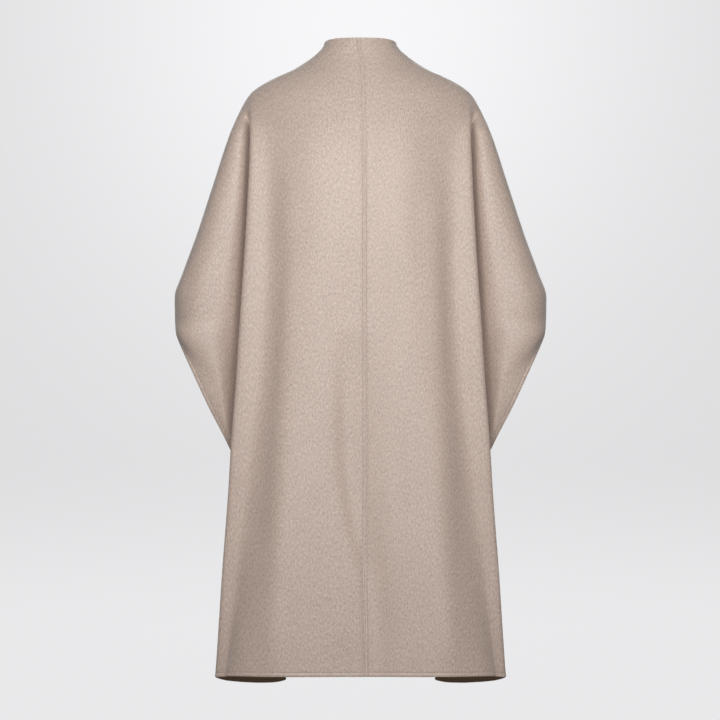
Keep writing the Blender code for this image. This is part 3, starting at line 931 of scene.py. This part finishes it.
# %% One row of stitches, and one mesh of many
STITCH_PITCH, STITCH_LENGTH, THREAD_RADIUS = 0.0046, 0.0034, 0.00036
STITCH_RISE, STITCH_BURIED, STITCH_WOBBLE = 0.00022, 0.00022, 0.00012
RING_TAPER, TIP_DEPTH = 0.8, 1.5
RING_PLACES = np.array((-0.9, -0.45, 0.45, 0.9))
RING_SIDES = 6
# Bare cloth before the first stitch of a row and after its last one, and at both ends of the cuff
MIDDLE_BARE, COLLAR_BARE, HEM_BARE, CUFF_BARE = (0.002, 0.002), (0.007, 0.004), (0.009, 0.002), (0.010, 0.008)
wobble = np.random.default_rng(12)


def stitch_row(points, normals, start, end):
    """Centres, directions and normals of evenly spaced stitches along a line of the cloth."""
    step = np.linalg.norm(np.diff(points, axis=0), axis=1)
    along = np.append(0, np.cumsum(step))
    count = int((along[-1] - start - end) / STITCH_PITCH)
    middle = start + STITCH_PITCH * (np.arange(count) + 0.5) + wobble.normal(0, STITCH_WOBBLE, count)
    half = STITCH_LENGTH / 2

    def at(places, values):
        """Values on the line at distances places from its start."""
        return np.stack([np.interp(places, along, values[:, k]) for k in range(3)], axis=-1)

    centre, ahead = at(middle, points), unit(at(middle + half, points) - at(middle - half, points))
    return centre, ahead, unit(at(middle, normals))


def closed_round(index):
    """A grid of point numbers whose first column comes again at its end, so that the surface closes."""
    return np.concatenate((index, index[:, :1]), axis=1)


def mesh_object(name, points, faces):
    """A smoothly shaded object from points and the corner numbers of its faces."""
    mesh = bpy.data.meshes.new(name)
    mesh.from_pydata(points.reshape(-1, 3).tolist(), [], faces)
    mesh.shade_smooth()
    return new_object(name, mesh)


def stitch_mesh(name, centre, ahead, out):
    """Rods along ahead. A ring at share s of the half length rises with 1 - s^2 and narrows to the tips."""
    aside = unit(np.cross(ahead, out))
    out = np.cross(aside, ahead)
    turn = np.arange(RING_SIDES) * 2 * np.pi / RING_SIDES
    radius = THREAD_RADIUS * np.sqrt(1 - RING_PLACES**2 * RING_TAPER)
    rise = STITCH_RISE * (1 - RING_PLACES**2) - STITCH_BURIED * RING_PLACES**2
    spread = np.stack((np.cos(turn), np.sin(turn)), -1)

    def place(share, up, round_out=0.0, round_aside=0.0):
        """Points at a share of the half length, raised by up, and off the rod's axis by the other two."""
        return (
            centre[:, None] + STITCH_LENGTH / 2 * share * ahead[:, None]
            + (up + round_out) * out[:, None] + round_aside * aside[:, None]
        )

    rings = [
        place(s, u, (r * spread[:, 0])[None, :, None], (r * spread[:, 1])[None, :, None])
        for s, u, r in zip(RING_PLACES, rise, radius)
    ]
    tips = [place(share, -STITCH_BURIED * TIP_DEPTH) for share in (-1.0, 1.0)]
    points = np.concatenate((*rings, *tips), axis=1)
    tip = len(RING_PLACES) * RING_SIDES
    tube = closed_round(np.arange(tip).reshape(-1, RING_SIDES))
    ends = ((tube[0, 1:], tube[0, :-1], tip), (tube[-1, :-1], tube[-1, 1:], tip + 1))
    caps = np.concatenate([np.stack(np.broadcast_arrays(*corners), axis=-1) for corners in ends])
    shift = (np.arange(len(centre)) * points.shape[1])[:, None, None]
    fours, threes = (quads(tube) + shift).reshape(-1, 4), (caps + shift).reshape(-1, 3)
    return mesh_object(name, points, fours.tolist() + threes.tolist())


print("one stitch every", 1000 * STITCH_PITCH, "mm")

# %% Stitch every free edge and the centre back


def nearest_index(places, value):
    """Number of the place that lies nearest to a value."""
    return int(np.argmin(np.abs(places - value)))


stitches = {}
top_row = nearest_index(COLLAR_TOP - HEIGHTS, COLLAR_STITCH)
hem_row = nearest_index(HEIGHTS - HEM, EDGE_STITCH)
cuff_rows = np.flatnonzero((HEIGHTS <= CUFF_TOP - CUFF_BARE[0]) & (HEIGHTS >= CUFF_FOOT + CUFF_BARE[1]))
for side, part in SIDE_NAME.items():
    middle_column = nearest_index(edge_places(STITCH_AT[side]), STITCH_AT[side])
    cuff_column = -1 - nearest_index(edge_places(EDGE_STITCH), EDGE_STITCH)
    for hand in ("left", "right"):
        outer, out = faces_out[f"{part}_{hand}_cloth"]
        lines = (
            (outer[:, middle_column], out[:, middle_column], *MIDDLE_BARE),
            (outer[top_row], out[top_row], *COLLAR_BARE),
            (outer[hem_row], out[hem_row], *HEM_BARE),
            (outer[cuff_rows, cuff_column], out[cuff_rows, cuff_column], 0.0, 0.0),
        )
        rows = [stitch_row(*line) for line in lines]
        name = f"{part}_{hand}_stitches"
        stitches[name] = stitch_mesh(name, *(np.concatenate(kind) for kind in zip(*rows)))
        print(name, sum(len(row[0]) for row in rows), "stitches")

# %% [markdown]
# ## Wool, in two small groups
# Brushed melange wool is spun from fibres of several shades, so its colour is made of fine flecks that run
# with the warp. Over the weave lies a short nap. Each effect is a node group that gives a value or a colour,
# and the materials place them with their own numbers. All sizes are in metres on the cloth's UV map.

# %% Helpers for node trees


def new_group(name, inputs, outputs):
    """An empty shader node group with named sockets, and its input and output nodes."""
    group = bpy.data.node_groups.new(name, "ShaderNodeTree")
    for label, kind, default in inputs:
        socket = group.interface.new_socket(name=label, in_out="INPUT", socket_type=kind)
        if default is not None:
            socket.default_value = default
    for label, kind in outputs:
        group.interface.new_socket(name=label, in_out="OUTPUT", socket_type=kind)
    return group, group.nodes.new("NodeGroupInput"), group.nodes.new("NodeGroupOutput")


def feed(node, inputs):
    """Feeds inputs by name or number: from a socket, from a node's first output, or with a plain value."""
    for key, source in inputs.items():
        source = source.outputs[0] if isinstance(source, bpy.types.Node) else source
        if isinstance(source, bpy.types.NodeSocket):
            node.id_data.links.new(source, node.inputs[key])
        else:
            node.inputs[key].default_value = source


def add_node(tree, kind, inputs=None, **settings):
    """A shader node of one kind with its settings, and its inputs fed."""
    node = tree.nodes.new("ShaderNode" + kind)
    for name, setting in settings.items():
        setattr(node, name, setting)
    feed(node, inputs or {})
    return node


def math_node(tree, operation, *values):
    """A Math node: each value is a number or the socket that feeds it."""
    return add_node(tree, "Math", dict(enumerate(values)), operation=operation).outputs[0]


def step_node(tree, value, low, high, to_low=0.0, to_high=1.0):
    """A smooth step from to_low at low to to_high at high."""
    inputs = {"Value": value, "From Min": low, "From Max": high, "To Min": to_low, "To Max": to_high}
    return add_node(tree, "MapRange", inputs, interpolation_type="SMOOTHSTEP").outputs["Result"]


def mixed(tree, share, one, two):
    """Colour one where share is 0, colour two where it is 1, and their weighted mean between.

    The colours of a Mix node are its inputs 6 and 7 and its output 2.
    """
    return add_node(tree, "Mix", {0: share, 6: one, 7: two}, data_type="RGBA").outputs[2]


print("helpers", [helper.__name__ for helper in (new_group, feed, add_node, math_node, step_node, mixed)])

# %% [markdown]
# ## Flecks and nap
# All grain is noise in cells that are longer along the warp than across it. Two sizes of it make the dark
# and the light flecks, a finer and a far broader one vary the shade, and two more raise the nap.

# %% Kinds of grain
# Cells of each kind of grain: size across and along the warp in metres, and turn in radians
GRAINS = {
    "warp": (0.0026, 0.0066, 0.0),
    "cross": (0.0028, 0.0056, 0.12),
    "fine": (0.0004, 0.0016, -0.12),
    "clouds": (0.045, 0.070, 0.2),
    "long_fibre": (0.0016, 0.0058, 0.08),
    "tuft": (0.0030, 0.0070, -0.1),
}
GRAIN_DETAIL, GRAIN_ROUGHNESS = 2.0, 0.6


def grain(tree, vector, kind):
    """Noise in stretched cells: the place is turned, then divided by the size of the cells."""
    across, along, turn = GRAINS[kind]
    turned = add_node(tree, "VectorRotate", {"Vector": vector, "Angle": turn}, rotation_type="Z_AXIS")
    cells = {0: turned, 1: (1 / across, 1 / along, 1.0)}
    sized = add_node(tree, "VectorMath", cells, operation="MULTIPLY")
    inputs = {"Vector": sized, "Scale": 1.0, "Detail": GRAIN_DETAIL, "Roughness": GRAIN_ROUGHNESS}
    return add_node(tree, "TexNoise", inputs, noise_dimensions="2D").outputs["Fac"]


print("kinds of grain:", list(GRAINS))

# %% Node groups
# Levels of noise where a fleck begins and is full, and for shades also what they give there
DARK_FLECK, LIGHT_FLECK = (0.54, 0.32), (0.48, 0.66)
FINE_SHADE, CLOUD_SHADE = (0.25, 0.75, 0.96, 1.04), (0.3, 0.7, 0.985, 1.015)
TWILL_SLANT, TUFT_SHARE = 0.7, 0.2


def melange_group():
    """Ground colour with dark and light flecks of fibre, times a fine shade and slow clouds of shade."""
    tree, into, out = new_group(
        "melange_fibres",
        (("Vector", "NodeSocketVector", None), ("Ground", "NodeSocketColor", (0.6, 0.5, 0.45, 1)),
         ("Dark Fibre", "NodeSocketColor", (0.4, 0.33, 0.29, 1)),
         ("Light Fibre", "NodeSocketColor", (0.75, 0.66, 0.6, 1)),
         ("Flecks", "NodeSocketFloat", 0.5)),
        (("Color", "NodeSocketColor"),),
    )
    vector, colour = into.outputs["Vector"], into.outputs["Ground"]
    for kind, fleck, fibre in (("warp", DARK_FLECK, "Dark Fibre"), ("cross", LIGHT_FLECK, "Light Fibre")):
        mask = step_node(tree, grain(tree, vector, kind), *fleck)
        share = math_node(tree, "MULTIPLY", mask, into.outputs["Flecks"])
        colour = mixed(tree, share, colour, into.outputs[fibre])
    fine = step_node(tree, grain(tree, vector, "fine"), *FINE_SHADE)
    clouds = step_node(tree, grain(tree, vector, "clouds"), *CLOUD_SHADE)
    shade = math_node(tree, "MULTIPLY", fine, clouds)
    feed(out, {"Color": add_node(tree, "VectorMath", {0: colour, "Scale": shade}, operation="SCALE")})
    return tree


def nap_group():
    """Height of the brushed surface: fibres lying down the cloth over a faint twill of slanting ribs."""
    tree, into, out = new_group(
        "brushed_twill",
        (("Vector", "NodeSocketVector", None), ("Rib Spacing", "NodeSocketFloat", 0.0016),
         ("Rib Height", "NodeSocketFloat", 0.25), ("Nap Height", "NodeSocketFloat", 0.75)),
        (("Height", "NodeSocketFloat"),),
    )
    vector = into.outputs["Vector"]
    x, y, _ = add_node(tree, "SeparateXYZ", {0: vector}).outputs
    slant = math_node(tree, "MULTIPLY_ADD", y, TWILL_SLANT, x)
    turns = math_node(tree, "DIVIDE", slant, into.outputs["Rib Spacing"])
    wave = math_node(tree, "SINE", math_node(tree, "MULTIPLY", turns, 2 * np.pi))
    ribs = math_node(tree, "MULTIPLY", wave, into.outputs["Rib Height"])
    tufts = math_node(tree, "MULTIPLY", grain(tree, vector, "tuft"), TUFT_SHARE)
    nap = math_node(tree, "ADD", grain(tree, vector, "long_fibre"), tufts)
    feed(out, {"Height": math_node(tree, "MULTIPLY_ADD", nap, into.outputs["Nap Height"], ribs)})
    return tree


groups = {"melange": melange_group(), "nap": nap_group()}
print("groups", [group.name for group in groups.values()])

# %% [markdown]
# ## Materials
# Wool scatters light almost evenly and glows a little where it turns away, because the nap stands up into
# the light. So the surface has a soft gloss and a thin sheen, and the nap is a low bump. The inside of the
# cloth is duller than the outside, which the thread matches, and it is coloured browner and darker: that
# colour is partly painted shade, matched to the inside as it shows in shade under the hem.

# %% Wool and thread


def new_material(name):
    """A material with nodes, its node tree and its surface shader."""
    material = bpy.data.materials.new(name)
    material.use_nodes = True
    return material, material.node_tree, material.node_tree.nodes["Principled BSDF"]


def wool_material(name, ground, dark, light, flecks, sheen, gloss):
    """Melange colour and a bump from the nap, both placed by the cloth's UV map."""
    material, tree, surface = new_material(name)
    uv = add_node(tree, "UVMap", uv_map="cloth")
    colours = {"Ground": (*ground, 1), "Dark Fibre": (*dark, 1), "Light Fibre": (*light, 1)}
    inputs = {"Vector": uv, "Flecks": flecks, **colours}
    melange = add_node(tree, "Group", inputs, node_tree=groups["melange"])
    nap = add_node(tree, "Group", {"Vector": uv}, node_tree=groups["nap"])
    bump = add_node(tree, "Bump", {"Height": nap, "Strength": 0.16, "Distance": 0.0005})
    feed(surface, {
        "Base Color": melange, "Normal": bump, "Roughness": 0.52, "Specular IOR Level": gloss,
        "Sheen Weight": sheen, "Sheen Roughness": 0.50, "Sheen Tint": (1.0, 0.96, 0.92, 1.0),
    })
    return material


def thread_material(name, dark, light):
    """Thread whose colour runs from dark to light with fine noise."""
    material, tree, surface = new_material(name)
    place = add_node(tree, "TexCoord").outputs["Object"]
    shade = add_node(tree, "TexNoise", {"Vector": place, "Scale": 1500.0})
    colours = add_node(tree, "ValToRGB", {"Fac": shade})
    for element, colour in zip(colours.color_ramp.elements, (dark, light)):
        element.color = (*colour, 1)
    feed(surface, {"Base Color": colours, "Roughness": 0.7})
    return material


WOOL_GROUND = (0.560, 0.428, 0.356)
WOOL_DARK = (0.240, 0.170, 0.130)
WOOL_LIGHT = (0.800, 0.690, 0.620)
# The inside's browner, darker ground is partly painted shade, matched to the inside as it shows in shade
REVERSE_GROUND_AND_SHADE = (0.500, 0.325, 0.210)
REVERSE_DARK = (0.270, 0.170, 0.110)
face_wool = wool_material("wool_face", WOOL_GROUND, WOOL_DARK, WOOL_LIGHT, 0.36, 0.50, 0.85)
inner_wool_and_shade = wool_material("wool_reverse_and_shade", REVERSE_GROUND_AND_SHADE, REVERSE_DARK, WOOL_GROUND, 0.40, 0.03, 0.30)

thread = thread_material("wool_thread", (0.440, 0.348, 0.298), (0.570, 0.462, 0.398))

for piece in panels.values():
    piece.data.materials.append(face_wool)
    piece.data.materials.append(inner_wool_and_shade)
for piece in stitches.values():
    piece.data.materials.append(thread)
print("materials", [m.name for m in (face_wool, inner_wool_and_shade, thread)])

# %% [markdown]
# ## Hand the pieces to the frame
# Each panel stands for its solid, and its stitches go with it.

# %% Bodies and nodes
NEIGHBOURS = {
    "back_left": ["back_right", "front_left"],
    "back_right": ["back_left", "front_right"],
    "front_left": ["back_left"],
    "front_right": ["back_right"],
}
for node, neighbours in NEIGHBOURS.items():
    cloth, sewing = panels[node + "_cloth"], stitches[node + "_stitches"]
    for piece in (cloth, sewing):
        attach(piece, "root")
    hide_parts(node)
print("sheets", sorted(panels))

# %% [markdown]
# ## A plain studio
# The cape hangs in a pale round studio. The floor and the wall are one turned surface with no corner to
# catch the eye, and its near side can be seen through, so the cape shows from every side.

# %% Floor and wall
FLOOR_DROP, FLOOR_RADIUS, SWEEP_RADIUS = 0.30, 2.0, 1.6
FLOOR = HEM - FLOOR_DROP
FLOOR_RINGS, WALL_RINGS = (0.001, 0.7, 1.4), (2.4, 3.6, 5.0)
SWEEP_STEPS, STUDIO_SIDES = 16, 96


def studio_surface():
    """A profile of floor, quarter circle and wall, turned about the Z axis."""
    swing = np.linspace(0, np.pi / 2, SWEEP_STEPS)
    sweep, wall = FLOOR_RADIUS + SWEEP_RADIUS * np.sin(swing), [FLOOR_RADIUS + SWEEP_RADIUS] * len(WALL_RINGS)
    radius = np.concatenate((FLOOR_RINGS, sweep, wall))[:, None]
    rise = SWEEP_RADIUS * (1 - np.cos(swing))
    height = np.concatenate(([0.0] * len(FLOOR_RINGS), rise, WALL_RINGS))[:, None] + FLOOR
    turn = np.linspace(0, 2 * np.pi, STUDIO_SIDES, endpoint=False)
    points = np.stack(np.broadcast_arrays(radius * np.cos(turn), radius * np.sin(turn), height), axis=-1)
    index = np.arange(radius.size * turn.size).reshape(radius.size, turn.size)
    return mesh_object("studio", points, quads(closed_round(index))[:, ::-1].tolist())


def glow_node(tree, value, middle, reach):
    """A bell curve: exp(-((value - middle) / reach)^2)."""
    offset = math_node(tree, "DIVIDE", math_node(tree, "SUBTRACT", value, middle), reach)
    square = math_node(tree, "MULTIPLY", math_node(tree, "MULTIPLY", offset, offset), -1.0)
    return math_node(tree, "EXPONENT", square)


# Middle and reach of the glow, depths between which it sets in, and heights and levels of the plain paper
GLOW_SIDEWAYS, GLOW_UPWARDS, GLOW_DEEP, GLOW_STRENGTH = (0.0, 0.87), (0.40, 0.95), (0.0, -1.0), 0.205
PAPER_SHADE = (-0.80, -1.28, 0.725, 0.812)


def studio_material():
    """Pale paper that glows a little behind the cape's collar, and is clear when seen from outside."""
    material, tree, surface = new_material("studio_paper")
    tree.nodes.remove(surface)
    x, y, z = add_node(tree, "SeparateXYZ", {0: add_node(tree, "TexCoord").outputs["Object"]}).outputs
    glow = math_node(tree, "MULTIPLY", glow_node(tree, x, *GLOW_SIDEWAYS), glow_node(tree, z, *GLOW_UPWARDS))
    glow = math_node(tree, "MULTIPLY", glow, step_node(tree, y, *GLOW_DEEP))
    level = math_node(tree, "MULTIPLY_ADD", glow, GLOW_STRENGTH, step_node(tree, z, *PAPER_SHADE))
    paper = add_node(tree, "Emission", {"Color": (1.0, 1.0, 1.015, 1), "Strength": level})
    clear, outside = add_node(tree, "BsdfTransparent"), add_node(tree, "NewGeometry").outputs["Backfacing"]
    choice = add_node(tree, "MixShader", {0: outside, 1: paper, 2: clear})
    feed(tree.nodes["Material Output"], {"Surface": choice})
    return material


studio = studio_surface()
studio.data.materials.append(studio_material())
studio.visible_diffuse = studio.visible_glossy = studio.visible_shadow = False
print("studio floor at", round(FLOOR, 3))

# %% [markdown]
# ## Lights and camera
# A broad soft light level with the collar, on the camera's side, shows the back. One as large on the other
# side serves the open front, and a weak one above picks out the shoulders. The lens is long and the camera
# far away, so the hem and the collar are seen at nearly the same scale.

# %% Lights and camera


def soft_light(name, place, aim, size, power, spread):
    """An area light at place, turned to aim, whose beam fades out over the angle spread."""
    lamp = bpy.data.lights.new(name, "AREA")
    lamp.shape = "RECTANGLE"
    lamp.size, lamp.size_y = size
    lamp.energy = power
    lamp.spread = np.radians(spread)
    light = new_object(name, lamp)
    light.location = place
    direction = Vector(aim) - Vector(place)
    light.rotation_euler = direction.to_track_quat("-Z", "Y").to_euler()
    light.visible_camera = False


soft_light("key_light", (0.0, 2.2, 0.00), (0.0, 0.0, -0.34), (1.8, 0.9), 39, 180)
soft_light("top_light", (0.0, 1.3, 1.9), (0.0, 0.05, 0.0), (1.4, 0.8), 5, 120)
soft_light("front_light", (0.0, -2.8, 0.0), (0.0, 0.0, -0.45), (1.4, 1.2), 45, 180)

world = bpy.data.worlds.new("studio_air")
bpy.context.scene.world = world
world.use_nodes = True
feed(world.node_tree.nodes["Background"], {"Color": (1.0, 0.99, 0.98, 1), "Strength": 0.14})

CAMERA_DISTANCE, CAMERA_HEIGHT, VIEW_WIDTH = 7.0, -0.559, 1.368
CAMERA_SIDE, SENSOR = 0.001, 36.0
camera_data = bpy.data.cameras.new("camera")
camera_data.sensor_width = SENSOR
camera_data.lens = SENSOR * CAMERA_DISTANCE / VIEW_WIDTH
camera = new_object("camera", camera_data)
camera.location = (CAMERA_SIDE, CAMERA_DISTANCE, CAMERA_HEIGHT)
camera.rotation_euler = (np.pi / 2, 0, np.pi)
bpy.context.scene.camera = camera
bpy.context.scene.view_settings.view_transform = "Standard"
print("lens", round(camera_data.lens, 1), "mm")
